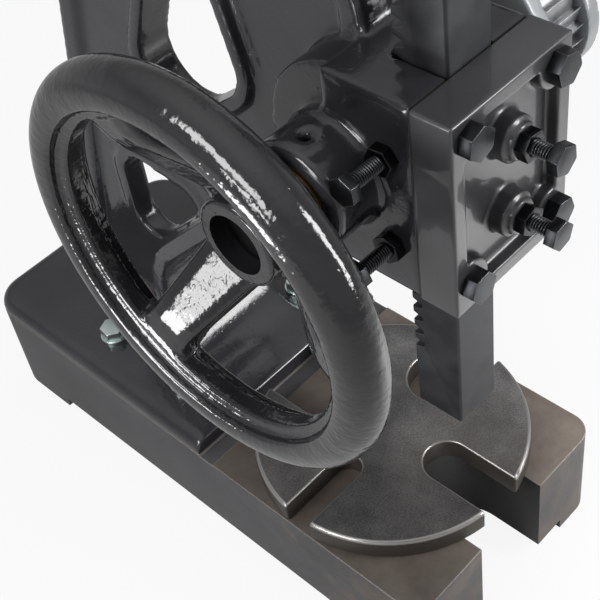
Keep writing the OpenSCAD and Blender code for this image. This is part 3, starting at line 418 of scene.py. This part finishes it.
def makeBaseIron():
    # thin grey paint on a sand casting, rubbed brown low down and in front; the machined top is oily brown iron
    s = baseLook
    material, tree, coords = newMaterial("worn grey paint on cast iron")
    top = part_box("base")[1].z
    place = addNode(tree, "SeparateXYZ", None, {"Vector": coords})
    shape = addNode(tree, "NewGeometry")
    facing = addNode(tree, "SeparateXYZ", None, {"Vector": shape.outputs["True Normal"]})
    patch = addNode(tree, "TexNoise", None, {
        "Vector": coords, "Scale": 1000 / s["patchMm"], "Detail": 8.0, "Roughness": 0.6})
    paint = addNode(tree, "ValToRGB", None, {"Fac": patch.outputs["Fac"]},
                    [(0.35, s["paint"]), (0.7, s["paintLight"])])
    iron = addNode(tree, "ValToRGB", None, {"Fac": patch.outputs["Fac"]},
                   [(0.3, s["brownDark"]), (0.7, s["brown"])])
    forward = addNode(tree, "MapRange", None, {
        "Value": place.outputs["Y"], "From Min": s["wearBack"] * mm, "From Max": s["wearFront"] * mm,
        "To Min": 0.0, "To Max": s["wearAhead"]})
    low = addNode(tree, "MapRange", None, {
        "Value": place.outputs["Z"], "From Min": top - s["wearUnder"] * mm, "From Max": top - s["wearLow"] * mm,
        "To Min": 0.0, "To Max": s["wearDown"]})
    reach = addNode(tree, "Math", {"operation": "ADD"}, {0: forward.outputs["Result"], 1: low.outputs["Result"]})
    wear = addNode(tree, "TexNoise", None, {
        "Vector": coords, "Scale": 1000 / s["wearMm"], "Detail": 9.0, "Roughness": 0.7})
    worn = addNode(tree, "Math", {"operation": "ADD"}, {0: wear.outputs["Fac"], 1: reach.outputs[0]})
    bare = addNode(tree, "MapRange", None, {"Value": worn.outputs[0], "From Min": 0.66, "From Max": 0.84})
    side = addNode(tree, "Mix", {"data_type": "RGBA"},
                   {"Factor": bare.outputs["Result"], 6: paint.outputs["Color"], 7: iron.outputs["Color"]})
    cutTone = addNode(tree, "ValToRGB", None, {"Fac": wear.outputs["Fac"]},
                      [(0.35, s["machinedDark"]), (0.65, s["machined"])])
    # the machined top is darker towards the left, on the wheel's side
    sideTone = addNode(tree, "MapRange", None, {
        "Value": place.outputs["X"], "From Min": s["toneLeft"] * mm, "From Max": s["toneRight"] * mm,
        "To Min": s["toneDark"], "To Max": s["tonePale"]})
    sideToned = addNode(tree, "Mix", {"data_type": "RGBA", "blend_type": "MULTIPLY"},
                    {"Factor": 1.0, 6: cutTone.outputs["Color"], 7: sideTone.outputs["Result"]})
    # only faces that look up, and at the top, are machined
    flat = addNode(tree, "MapRange", None, {"Value": facing.outputs["Z"], "From Min": 0.9, "From Max": 0.97})
    high = addNode(tree, "MapRange", None, {
        "Value": place.outputs["Z"], "From Min": top - 1.2 * mm, "From Max": top - 0.6 * mm})
    planed = addNode(tree, "Math", {"operation": "MULTIPLY"},
                     {0: flat.outputs["Result"], 1: high.outputs["Result"]})
    both = addNode(tree, "Mix", {"data_type": "RGBA"},
                   {"Factor": planed.outputs[0], 6: side.outputs[2], 7: sideToned.outputs[2]})
    edge, soft = wornEdge(tree, s["edgeMm"])
    edgeShare = addNode(tree, "Math", {"operation": "MULTIPLY"}, {0: edge, 1: s["edgeShare"]})
    rubbed = addNode(tree, "Mix", {"data_type": "RGBA"},
                     {"Factor": edgeShare.outputs[0], 6: both.outputs[2], 7: s["edge"]})
    rough = addNode(tree, "MapRange", None, {
        "Value": patch.outputs["Fac"], "To Min": s["smooth"], "To Max": s["rough"]})
    sand = addNode(tree, "TexNoise", None, {"Vector": coords, "Scale": 1000 / s["sandMm"], "Detail": 4.0})
    bump = addNode(tree, "Bump", None, {
        "Strength": 0.4, "Distance": s["sandDeep"] * mm, "Height": sand.outputs["Fac"], "Normal": soft})
    # painted shade: the right wall of the gap under the disc is blackened, fully towards the back
    gapWall = addNode(tree, "MapRange", None, {"Value": facing.outputs["X"], "From Min": -0.6, "From Max": -0.9})
    inGap = addNode(tree, "MapRange", None, {"Value": place.outputs["X"], "From Min": 0.0, "From Max": 10 * mm})
    behind = addNode(tree, "MapRange", None, {
        "Value": place.outputs["Y"], "From Min": s["gapShadeFront"] * mm, "From Max": s["gapShadeFull"] * mm})
    wall = addNode(tree, "Math", {"operation": "MULTIPLY"},
                   {0: gapWall.outputs["Result"], 1: inGap.outputs["Result"]})
    gapShaded = addNode(tree, "Math", {"operation": "MULTIPLY"}, {0: wall.outputs[0], 1: behind.outputs["Result"]})
    black = addNode(tree, "Mix", {"data_type": "RGBA"},
                    {"Factor": gapShaded.outputs[0], 6: rubbed.outputs[2], 7: s["gapShade"]})
    skin = addNode(tree, "BsdfPrincipled", None, {
        "Base Color": black.outputs[2], "Roughness": rough.outputs["Result"], "IOR": 1.5,
        "Normal": bump.outputs["Normal"]})
    addNode(tree, "OutputMaterial", None, {"Surface": skin.outputs["BSDF"]})
    return material


baseIron = makeBaseIron()

phenolicLook = {"dark": "#121213", "light": "#1d1d1e", "mottleMm": 11.1, "mottleDeep": 0.1, "roughness": 0.18}


def makePhenolic():
    # moulded black phenolic: smooth, slightly mottled gloss
    s = phenolicLook
    material, tree, coords = newMaterial("black phenolic")
    mottle = addNode(tree, "TexNoise", None, {"Vector": coords, "Scale": 1000 / s["mottleMm"], "Detail": 3.0})
    colour = addNode(tree, "ValToRGB", None, {"Fac": mottle.outputs["Fac"]},
                     [(0.35, s["dark"]), (0.7, s["light"])])
    bump = addNode(tree, "Bump", None, {
        "Strength": 0.2, "Distance": s["mottleDeep"] * mm, "Height": mottle.outputs["Fac"]})
    gloss = addNode(tree, "BsdfPrincipled", None, {
        "Base Color": colour.outputs["Color"], "Roughness": s["roughness"], "IOR": 1.55,
        "Normal": bump.outputs["Normal"]})
    addNode(tree, "OutputMaterial", None, {"Surface": gloss.outputs["BSDF"]})
    return material


knobPhenolic = makePhenolic()

slotFinish = {"enamel": columnEnamel, "wheel_enamel": wheelEnamel, "cover_iron": coverEnamel,
              "lever_iron": leverEnamel, "bare_iron": discIron, "dark_steel": ramSteel,
              "bright_steel": turnedSteel, "black_oxide": oxideSteel, "zinc": zincSteel, "bronze": bronze,
              "black_plastic": knobPhenolic}
for sub in frame["record"]["subparts"]:
    giveMaterial(nodes[sub["node"]], slotFinish[sub["material_slot"]])
# the shaft gets the darkened steel, painted shade for the bore
giveMaterial(nodes["pinion_shaft"], shadedShaftSteel)
print("materials made")

# in mm; radii and spoke stations are measured from the shaft, X from the middle of the press
wheelSizes = {"gripHalfWide": 15.3, "gripHalfDeep": 16.2, "rimCentre": 113.1, "rimX": -158.2,
              "gripInside": 105.5, "bandInside": 99, "bandThick": 10, "bandFront": -164.5, "bandBack": -152,
              "lipX": -166, "lipRadius": 106.5, "gripSides": 40, "spinSteps": 160,
              "hubRadius": 28.5, "hubFace": -132, "hubBack": -89, "hubEdge": 2.0, "bore": 39,
              "voxel": 1.5, "rounds": 3, "smoothAngle": 40, "spokeAngles": (-58, 62, 182),
              # radius, front, back, width of a spoke
              "spoke": ((22, -122, -99, 46), (32, -124, -100, 43), (40, -129.5, -105, 40.5),
                        (76, -155.5, -132, 34), (84, -159.5, -138, 33), (95, -162.5, -145, 36),
                        (107, -163.5, -151.5, 50)),
              # only edges left of this X, and this far in front of the back, are bevelled
              "spokeBevel": 8, "bevelLeftOf": -110, "bevelAhead": 5}


def spinRound(name, steps):
    # turns the selected open object round the shaft's axis
    obj = bpy.context.object
    obj.name = obj.data.name = name
    ops.object.transform_apply(location=True, rotation=True, scale=True)
    ops.object.mode_set(mode="EDIT")
    ops.mesh.select_all(action="SELECT")
    ops.mesh.spin(steps=steps, angle=2 * pi, center=shaft, axis=(1, 0, 0))
    ops.mesh.select_all(action="SELECT")
    ops.mesh.remove_doubles(threshold=0.02 * mm)
    ops.mesh.normals_make_consistent(inside=False)
    ops.object.mode_set(mode="OBJECT")
    return obj


def makeSpoke():
    # one spoke standing up from the hub: a bar pulled out station by station, its front edges bevelled
    s = wheelSizes
    radius, front, back, width = s["spoke"][0]
    ops.object.select_all(action="DESELECT")
    ops.mesh.primitive_cube_add(size=1, location=((front + back) / 2 * mm, shaft.y, shaft.z + (radius - 1) * mm))
    bar = bpy.context.object
    bar.scale = ((back - front) * mm, width * mm, 2 * mm)
    settle(bar, "spoke")
    for nextRadius, nextFront, nextBack, nextWidth in s["spoke"][1:]:
        top = shaft.z + radius * mm
        selectVerts(bar, lambda p: p.z > top - 0.1 * mm)
        ops.mesh.select_mode(type="FACE")
        rise = Vector(((nextFront + nextBack - front - back) / 2 * mm, 0, (nextRadius - radius) * mm))
        ops.mesh.extrude_region_move(TRANSFORM_OT_translate={"value": rise})
        centre = ((nextFront + nextBack) / 2 * mm, shaft.y, shaft.z + nextRadius * mm)
        growth = ((nextBack - nextFront) / (back - front), nextWidth / width, 1)
        ops.transform.resize(value=growth, center_override=centre)
        ops.object.mode_set(mode="OBJECT")
        radius, front, back, width = nextRadius, nextFront, nextBack, nextWidth
    # the two long front edges
    pick(bar)
    ops.object.mode_set(mode="EDIT")
    ops.mesh.select_mode(type="EDGE")
    ops.mesh.select_all(action="DESELECT")
    ops.object.mode_set(mode="OBJECT")
    for edge in bar.data.edges:
        a, b = (bar.data.vertices[i].co for i in edge.vertices)
        middleX = (a.x + b.x) / 2
        backX = max(v.co.x for v in bar.data.vertices if abs(v.co.z - a.z) < 0.1 * mm)
        alongBar, inFront = abs(a.z - b.z) > 1 * mm, a.x < backX - s["bevelAhead"] * mm
        edge.select = alongBar and inFront and middleX < s["bevelLeftOf"] * mm
    ops.object.mode_set(mode="EDIT")
    ops.mesh.bevel(offset=s["spokeBevel"] * mm, segments=2, profile=0.6)
    ops.object.mode_set(mode="OBJECT")
    return bar


def makeHandwheel():
    s = wheelSizes
    ops.object.select_all(action="DESELECT")
    ops.mesh.primitive_circle_add(vertices=s["gripSides"], radius=1, rotation=(pi / 2, 0, 0),
                                  location=(s["rimX"] * mm, shaft.y, shaft.z + s["rimCentre"] * mm))
    bpy.context.object.scale = (s["gripHalfWide"] * mm, s["gripHalfDeep"] * mm, 1)
    settle(bpy.context.object)
    # the grip is flat where it meets the band
    inside = shaft.z + s["gripInside"] * mm
    selectVerts(bpy.context.object, lambda p: p.z < inside)
    ops.transform.resize(value=(1, 1, 0), center_override=(0, 0, inside))
    ops.object.mode_set(mode="OBJECT")
    grip = spinRound("grip", s["spinSteps"])
    # the band is a flat strip whose outer front edge leans out to a lip
    bandMiddle = shaft.z + (s["bandInside"] + s["bandThick"] / 2) * mm
    ops.object.select_all(action="DESELECT")
    ops.mesh.primitive_plane_add(size=1, rotation=(pi / 2, 0, 0),
                                 location=((s["bandFront"] + s["bandBack"]) / 2 * mm, shaft.y, bandMiddle))
    bpy.context.object.scale = ((s["bandBack"] - s["bandFront"]) * mm, s["bandThick"] * mm, 1)
    settle(bpy.context.object)
    selectVerts(bpy.context.object, lambda p: p.x < (s["bandFront"] + 0.01) * mm and p.z > bandMiddle)
    lean = ((s["lipX"] - s["bandFront"]) * mm, 0, (s["lipRadius"] - s["bandInside"] - s["bandThick"]) * mm)
    ops.transform.translate(value=lean)
    ops.object.mode_set(mode="OBJECT")
    band = spinRound("band", s["spinSteps"])
    ops.object.select_all(action="DESELECT")
    hubMiddle = ((s["hubFace"] + s["hubBack"]) / 2 * mm, shaft.y, shaft.z)
    ops.mesh.primitive_cylinder_add(vertices=96, radius=s["hubRadius"] * mm, rotation=(0, pi / 2, 0),
                                    depth=(s["hubBack"] - s["hubFace"]) * mm, location=hubMiddle)
    hub = settle(bpy.context.object, "hub")
    softEdges(hub, s["hubEdge"], 3)
    spokes = []
    for angle in s["spokeAngles"]:
        spoke = makeSpoke()
        pick(spoke)
        ops.object.mode_set(mode="EDIT")
        ops.mesh.select_all(action="SELECT")
        # the spoke stands at 90 degrees; angles run from +Y towards +Z
        ops.transform.rotate(value=-radians(angle - 90), orient_axis="X", center_override=shaft)
        ops.object.mode_set(mode="OBJECT")
        spokes.append(spoke)
    pick(grip, band, hub, *spokes)
    ops.object.join()
    wheel = bpy.context.object
    wheel.name = wheel.data.name = "handwheelCasting"
    castSkin(wheel, s["voxel"], s["rounds"])
    # the bore is reamed after casting
    ops.object.select_all(action="DESELECT")
    ops.mesh.primitive_cylinder_add(vertices=96, radius=s["bore"] / 2 * mm, depth=200 * mm,
                                    location=(-100 * mm, shaft.y, shaft.z), rotation=(0, pi / 2, 0))
    cut(wheel, settle(bpy.context.object))
    finishPiece(wheel, "pinion", "handwheel", wheelEnamel, s["smoothAngle"])


makeHandwheel()

# in degrees: edges flatter than the smooth ones are shaded smooth, and those sharper than bevelFrom are bevelled
finishAngles = {"smoothCast": 50, "smoothCut": 35, "smoothScrew": 30, "bevelFrom": 25}

castings = {
    # node: name, body, slot, material, voxel, smoothing rounds (a larger voxel makes a rounder, lighter mesh)
    "column": ("columnCasting", "frame", "enamel", columnEnamel, 2.5, 5),
    "cover_plate": ("coverCasting", "frame", "cover_iron", coverEnamel, 1.1, 5),
    "lever_head": ("leverHeadCasting", "lever", "lever_iron", leverEnamel, 1.6, 4),
}

for node, (name, body, slotName, material, voxel, rounds) in castings.items():
    casting = copyOf(node, name)
    castSkin(casting, voxel, rounds)
    finishPiece(casting, body, node, material, finishAngles["smoothCast"])

machined = {
    # node: name, body, slot, material, edge width, segments
    "base": ("baseCasting", "frame", "enamel", baseIron, 1.6, 3),
    "anvil_disc": ("anvilDisc", "anvil", "bare_iron", discIron, 2.0, 3),
    "ram": ("rackRam", "ram", "dark_steel", ramSteel, 0.5, 2),
    "end_nut": ("shaftEndNut", "pinion", "black_oxide", oxideSteel, 0.5, 2),
    "end_washer": ("shaftEndWasher", "pinion", "bright_steel", turnedSteel, 0.5, 2),
    "thrust_collar": ("thrustCollar", "pinion", "bright_steel", turnedSteel, 0.5, 2),
    "ratchet_wheel": ("ratchetWheel", "pinion", "bright_steel", turnedSteel, 0.3, 2),
    "pawl": ("ratchetPawl", "pawl", "dark_steel", ramSteel, 0.8, 3),
    "lever_bar": ("leverBar", "lever", "bright_steel", turnedSteel, 1.0, 2),
    "lever_knob": ("leverKnob", "lever", "black_plastic", knobPhenolic, 0.8, 2),
}

for node, (name, body, slotName, material, width, segments) in machined.items():
    part = copyOf(node, name)
    softEdges(part, width, segments, finishAngles["bevelFrom"])
    finishPiece(part, body, node, material, finishAngles["smoothCut"])

screwSizes = {
    "m12": {"flats": 19, "headHigh": 9, "radius": 6, "pitch": 2.0},
    "m10": {"flats": 17, "headHigh": 7, "nutHigh": 7, "radius": 5, "pitch": 1.75},
}
# the cone that turns the corners off, the countersink of a nut and the rubbed edges, in mm
hexWork = {"coneSlope": 1.7, "coneFoot": 0.45, "coneTop": 1.15, "coneOver": 0.4,
           "sinkWide": 1.2, "sinkLift": 0.55, "edge": 0.35}
threadWork = {"deepShare": 0.62, "steps": 40, "slack": 0.05, "coreShare": 0.98, "coreUp": 0.5, "tipEdge": 0.6}


def makeHex(flats, high, hole=0):
    # a hex block on z = 0, its outer corners turned off by a lathe tool
    s = hexWork
    radius = flats / 2 / cos(pi / 6) * mm
    ops.object.select_all(action="DESELECT")
    ops.mesh.primitive_cylinder_add(vertices=6, radius=radius, depth=high * mm, location=(0, 0, high / 2 * mm),
                                    rotation=(0, 0, pi / 6))
    block = settle(bpy.context.object, "hex")
    ops.mesh.primitive_cone_add(vertices=96, radius1=radius + (high * s["coneSlope"] - s["coneFoot"]) * mm,
                                radius2=radius - s["coneTop"] * mm, depth=(high + s["coneOver"]) * mm,
                                location=(0, 0, (high + s["coneOver"]) / 2 * mm))
    cut(block, settle(bpy.context.object), "INTERSECT")
    if hole:
        ops.mesh.primitive_cylinder_add(vertices=64, radius=hole * mm, depth=100 * mm)
        cut(block, settle(bpy.context.object))
        sink = hole + s["sinkWide"]
        ops.mesh.primitive_cone_add(vertices=64, radius1=0, radius2=sink * mm, depth=sink * mm,
                                    location=(0, 0, (high - sink / 2 + s["sinkLift"]) * mm))
        cut(block, settle(bpy.context.object))
    softEdges(block, s["edge"], 2, finishAngles["bevelFrom"])
    return block


def makeThread(radius, pitch, length):
    # a helical thread down from z = 0, round a plain core with a bevelled tip
    s = threadWork
    turns = int(length / pitch)
    deep = pitch * s["deepShare"]
    ops.object.select_all(action="DESELECT")
    ops.mesh.primitive_circle_add(vertices=3, radius=1, rotation=(pi / 2, 0, 0))
    ridge = settle(bpy.context.object, "thread")
    # the triangle's three corners become the two roots and the crest of one turn
    corners = (((radius - deep) * mm, 0.0), (radius * mm, -pitch / 2 * mm), ((radius - deep) * mm, -pitch * mm))
    for vertex, (x, z) in zip(ridge.data.vertices, corners):
        vertex.co = (x, 0, z)
    pick(ridge)
    ops.object.mode_set(mode="EDIT")
    ops.mesh.select_mode(type="EDGE")
    ops.mesh.select_all(action="DESELECT")
    ops.object.mode_set(mode="OBJECT")
    for edge in ridge.data.edges:
        edge.select = all(ridge.data.vertices[i].co.x < (radius - deep / 2) * mm for i in edge.vertices)
    ops.object.mode_set(mode="EDIT")
    ops.mesh.delete(type="EDGE")
    ops.object.mode_set(mode="OBJECT")
    twist = ridge.modifiers.new("twist", "SCREW")
    twist.axis, twist.angle, twist.screw_offset = "Z", 2 * pi, -pitch * mm
    twist.iterations, twist.steps, twist.render_steps = turns, s["steps"], s["steps"]
    twist.use_merge_vertices = True
    applyAll(ridge)
    ops.object.select_all(action="DESELECT")
    ops.mesh.primitive_cylinder_add(vertices=s["steps"], radius=(radius - deep * s["coreShare"]) * mm,
                                    depth=(length + pitch) * mm,
                                    location=(0, 0, (s["coreUp"] - (length + pitch) / 2) * mm))
    core = settle(bpy.context.object)
    softEdges(core, s["tipEdge"], 2)
    pick(ridge, core)
    ops.object.join()
    return bpy.context.object


def placeCopy(template, name, place, facing, turn):
    # facing is where the template's +Z goes
    obj = bpy.data.objects.new(name, template.data.copy())
    obj.data.name = name
    bpy.context.scene.collection.objects.link(obj)
    spin = Matrix.Rotation(radians(turn), 4, "Z")
    stand = {"up": Matrix(), "front": Matrix.Rotation(pi / 2, 4, "X"), "left": Matrix.Rotation(-pi / 2, 4, "Y")}
    obj.matrix_world = Matrix.Translation(place) @ stand[facing] @ spin
    return settle(obj)


def placesOf(node, facing, flats, high, headed):
    # where the heads or nuts of a CAD node sit, from its box
    lo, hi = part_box(node)
    half, corner, deep = flats / 2 * mm, flats / 2 / cos(pi / 6) * mm, high * mm
    rows = {lo.z + half, hi.z - half}
    if facing == "front":
        y = lo.y + deep if headed else hi.y
        columns = {round(lo.x + corner, 6), round(hi.x - corner, 6)}
        return [Vector((x, y, z)) for z in sorted(rows) for x in sorted(columns)]
    if facing == "left":
        x = lo.x + deep if headed else hi.x
        return [Vector((x, (lo.y + hi.y) / 2, z)) for z in sorted(rows)]
    columns = (lo.x + corner, hi.x - corner)
    return [Vector((x, y, hi.z - deep)) for y in (lo.y + half, hi.y - half) for x in columns]


fasteners = [
    # node, size, way it faces, thread length (none on a nut), slot, steel, turn of each one's flats
    ("cover_bolts", "m12", "front", 20, "black_oxide", oxideSteel, (8, 50, 20, -14)),
    ("front_gib_screws", "m10", "front", 34, "black_oxide", oxideSteel, (12, 38)),
    ("side_gib_screws", "m10", "left", 40, "black_oxide", oxideSteel, (25, 5)),
    ("front_jam_nuts", "m10", "front", 0, "black_oxide", nutSteel, (20, -8)),
    ("side_jam_nuts", "m10", "left", 0, "black_oxide", nutSteel, (10, 35)),
    ("foot_bolts", "m12", "up", 12, "zinc", zincSteel, (10, 40, 22, 5)),
]

for node, size, facing, length, slotName, steel, turns in fasteners:
    s = screwSizes[size]
    if length:
        high, madeAs = s["headHigh"], "Threaded"
        head = makeHex(s["flats"], high)
        pick(head, makeThread(s["radius"] - threadWork["slack"], s["pitch"], length))
        ops.object.join()
        template = bpy.context.object
    else:
        high, madeAs = s["nutHigh"], "Turned"
        template = makeHex(s["flats"], high, s["radius"])
    places = placesOf(node, facing, s["flats"], high, length > 0)
    copies = [placeCopy(template, node, place, facing, turn) for place, turn in zip(places, turns)]
    bpy.data.objects.remove(template)
    pick(*copies)
    ops.object.join()
    finishPiece(bpy.context.object, "frame", node, steel, finishAngles["smoothScrew"])
    bpy.context.object.name = node + madeAs
print("screws made")

stage = {"floorSize": 8.0, "floorColour": "#aeaeae", "whiteShare": 0.9, "mirrorShare": 0.1}


def makeFloor():
    # the camera sees white paper, and gloss mirrors it darker, as it does a room beyond the paper's edge
    ops.object.select_all(action="DESELECT")
    ops.mesh.primitive_plane_add(size=stage["floorSize"], location=(0, 0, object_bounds()[0].z))
    floor = settle(bpy.context.object, "studioFloor")
    material, tree, coords = newMaterial("white paper sweep")
    paper = addNode(tree, "BsdfDiffuse", None, {"Color": stage["floorColour"]})
    glow = addNode(tree, "Emission", None, {"Color": (1, 1, 1, 1), "Strength": 1.0})
    path = addNode(tree, "LightPath")
    seen = addNode(tree, "Math", {"operation": "MULTIPLY"},
                   {0: path.outputs["Is Camera Ray"], 1: stage["whiteShare"]})
    mirrored = addNode(tree, "Math", {"operation": "MULTIPLY"},
                       {0: path.outputs["Is Glossy Ray"], 1: stage["mirrorShare"]})
    share = addNode(tree, "Math", {"operation": "MAXIMUM"}, {0: seen.outputs[0], 1: mirrored.outputs[0]})
    mix = addNode(tree, "MixShader", None,
                  {0: share.outputs[0], 1: paper.outputs["BSDF"], 2: glow.outputs["Emission"]})
    addNode(tree, "OutputMaterial", None, {"Surface": mix.outputs["Shader"]})
    giveMaterial(floor, material)


makeFloor()

lamps = [
    # name, azimuth from +Y towards +X, elevation, tilt, distance, width, height, brightness
    ("left strip", -86, 32, -20, 1.8, 1.25, 0.5, 13.0),
    ("spoke card", -86, 9, 0, 1.8, 0.28, 0.4, 15.0),
    ("rim card", -75, 2.5, 38, 0.38, 0.13, 0.065, 18.0),
    ("front strip", 145, 21, 0, 1.8, 0.38, 1.2, 17.0),
]
lampAim = (-50, -30, 200)

# a low lamp that brightens the paper in front, so upright front faces mirror it
paperLamp = {"place": (300, -420, 140), "size": 0.3, "brightness": 14.0}


def hangLamp(name, width, height, bright, place, turned=None):
    data = bpy.data.lights.new(name, "AREA")
    data.shape = "RECTANGLE"
    data.size, data.size_y, data.energy = width, height, bright * pi * width * height
    lamp = bpy.data.objects.new(name, data)
    lamp.location = place
    if turned:
        lamp.rotation_euler = turned.to_euler()
    lamp.visible_camera = False
    bpy.context.scene.collection.objects.link(lamp)


def makeLamps():
    aim = Vector(lampAim) * mm
    for name, azimuth, elevation, tilt, away, width, height, bright in lamps:
        az, el = radians(azimuth), radians(elevation)
        place = aim + away * Vector((sin(az) * cos(el), cos(az) * cos(el), sin(el)))
        facing = (aim - place).to_track_quat("-Z", "Y").to_matrix()
        hangLamp(name, width, height, bright, place, facing @ Matrix.Rotation(radians(tilt), 3, "Z"))
    # the paper lamp faces straight down
    size = paperLamp["size"]
    hangLamp("paper lamp", size, size, paperLamp["brightness"], Vector(paperLamp["place"]) * mm)


makeLamps()

# height above the horizon and how bright the room is there, as gloss and the object see it
roomStops = [(0.0, 0.45), (0.25, 0.42), (0.5, 0.32), (0.85, 0.75), (1.0, 1.0)]


def makeWorld():
    world = bpy.data.worlds.new("studio")
    world.use_nodes = True
    bpy.context.scene.world = world
    tree = world.node_tree
    tree.nodes.clear()
    coords = addNode(tree, "TexCoord")
    split = addNode(tree, "SeparateXYZ", None, {"Vector": coords.outputs["Generated"]})
    height = addNode(tree, "MapRange", None, {"Value": split.outputs["Z"]})
    colour = addNode(tree, "ValToRGB", None, {"Fac": height.outputs["Result"]}, roomStops)
    room = addNode(tree, "Background", None, {"Color": colour.outputs["Color"], "Strength": 1.0})
    white = addNode(tree, "Background", None, {"Color": (1, 1, 1, 1), "Strength": 1.0})
    path = addNode(tree, "LightPath")
    mix = addNode(tree, "MixShader", None, {
        0: path.outputs["Is Camera Ray"], 1: room.outputs["Background"], 2: white.outputs["Background"]})
    addNode(tree, "OutputWorld", None, {"Surface": mix.outputs["Shader"]})


makeWorld()

view = {"place": (-422.8, -425.8, 766.8), "azimuth": 39.69, "elevation": 45.68, "roll": -9.76,
        "lens": 73.97, "sensor": 36}


def makeCamera():
    az, el, roll = radians(view["azimuth"]), radians(view["elevation"]), radians(view["roll"])
    ahead = Vector((sin(az) * cos(el), cos(az) * cos(el), -sin(el)))
    level = Vector((cos(az), -sin(az), 0))
    above = level.cross(ahead)
    right = cos(roll) * level + sin(roll) * above
    up = -sin(roll) * level + cos(roll) * above
    data = bpy.data.cameras.new("camera")
    data.lens, data.sensor_width = view["lens"], view["sensor"]
    data.clip_start, data.clip_end = 0.01, 50
    camera = bpy.data.objects.new("camera", data)
    place = Matrix((right, up, -ahead)).transposed().to_4x4()
    place.translation = Vector(view["place"]) * mm
    camera.matrix_world = place
    bpy.context.scene.collection.objects.link(camera)
    bpy.context.scene.camera = camera


makeCamera()
bpy.context.scene.view_settings.view_transform = "Standard"
print("stage set")
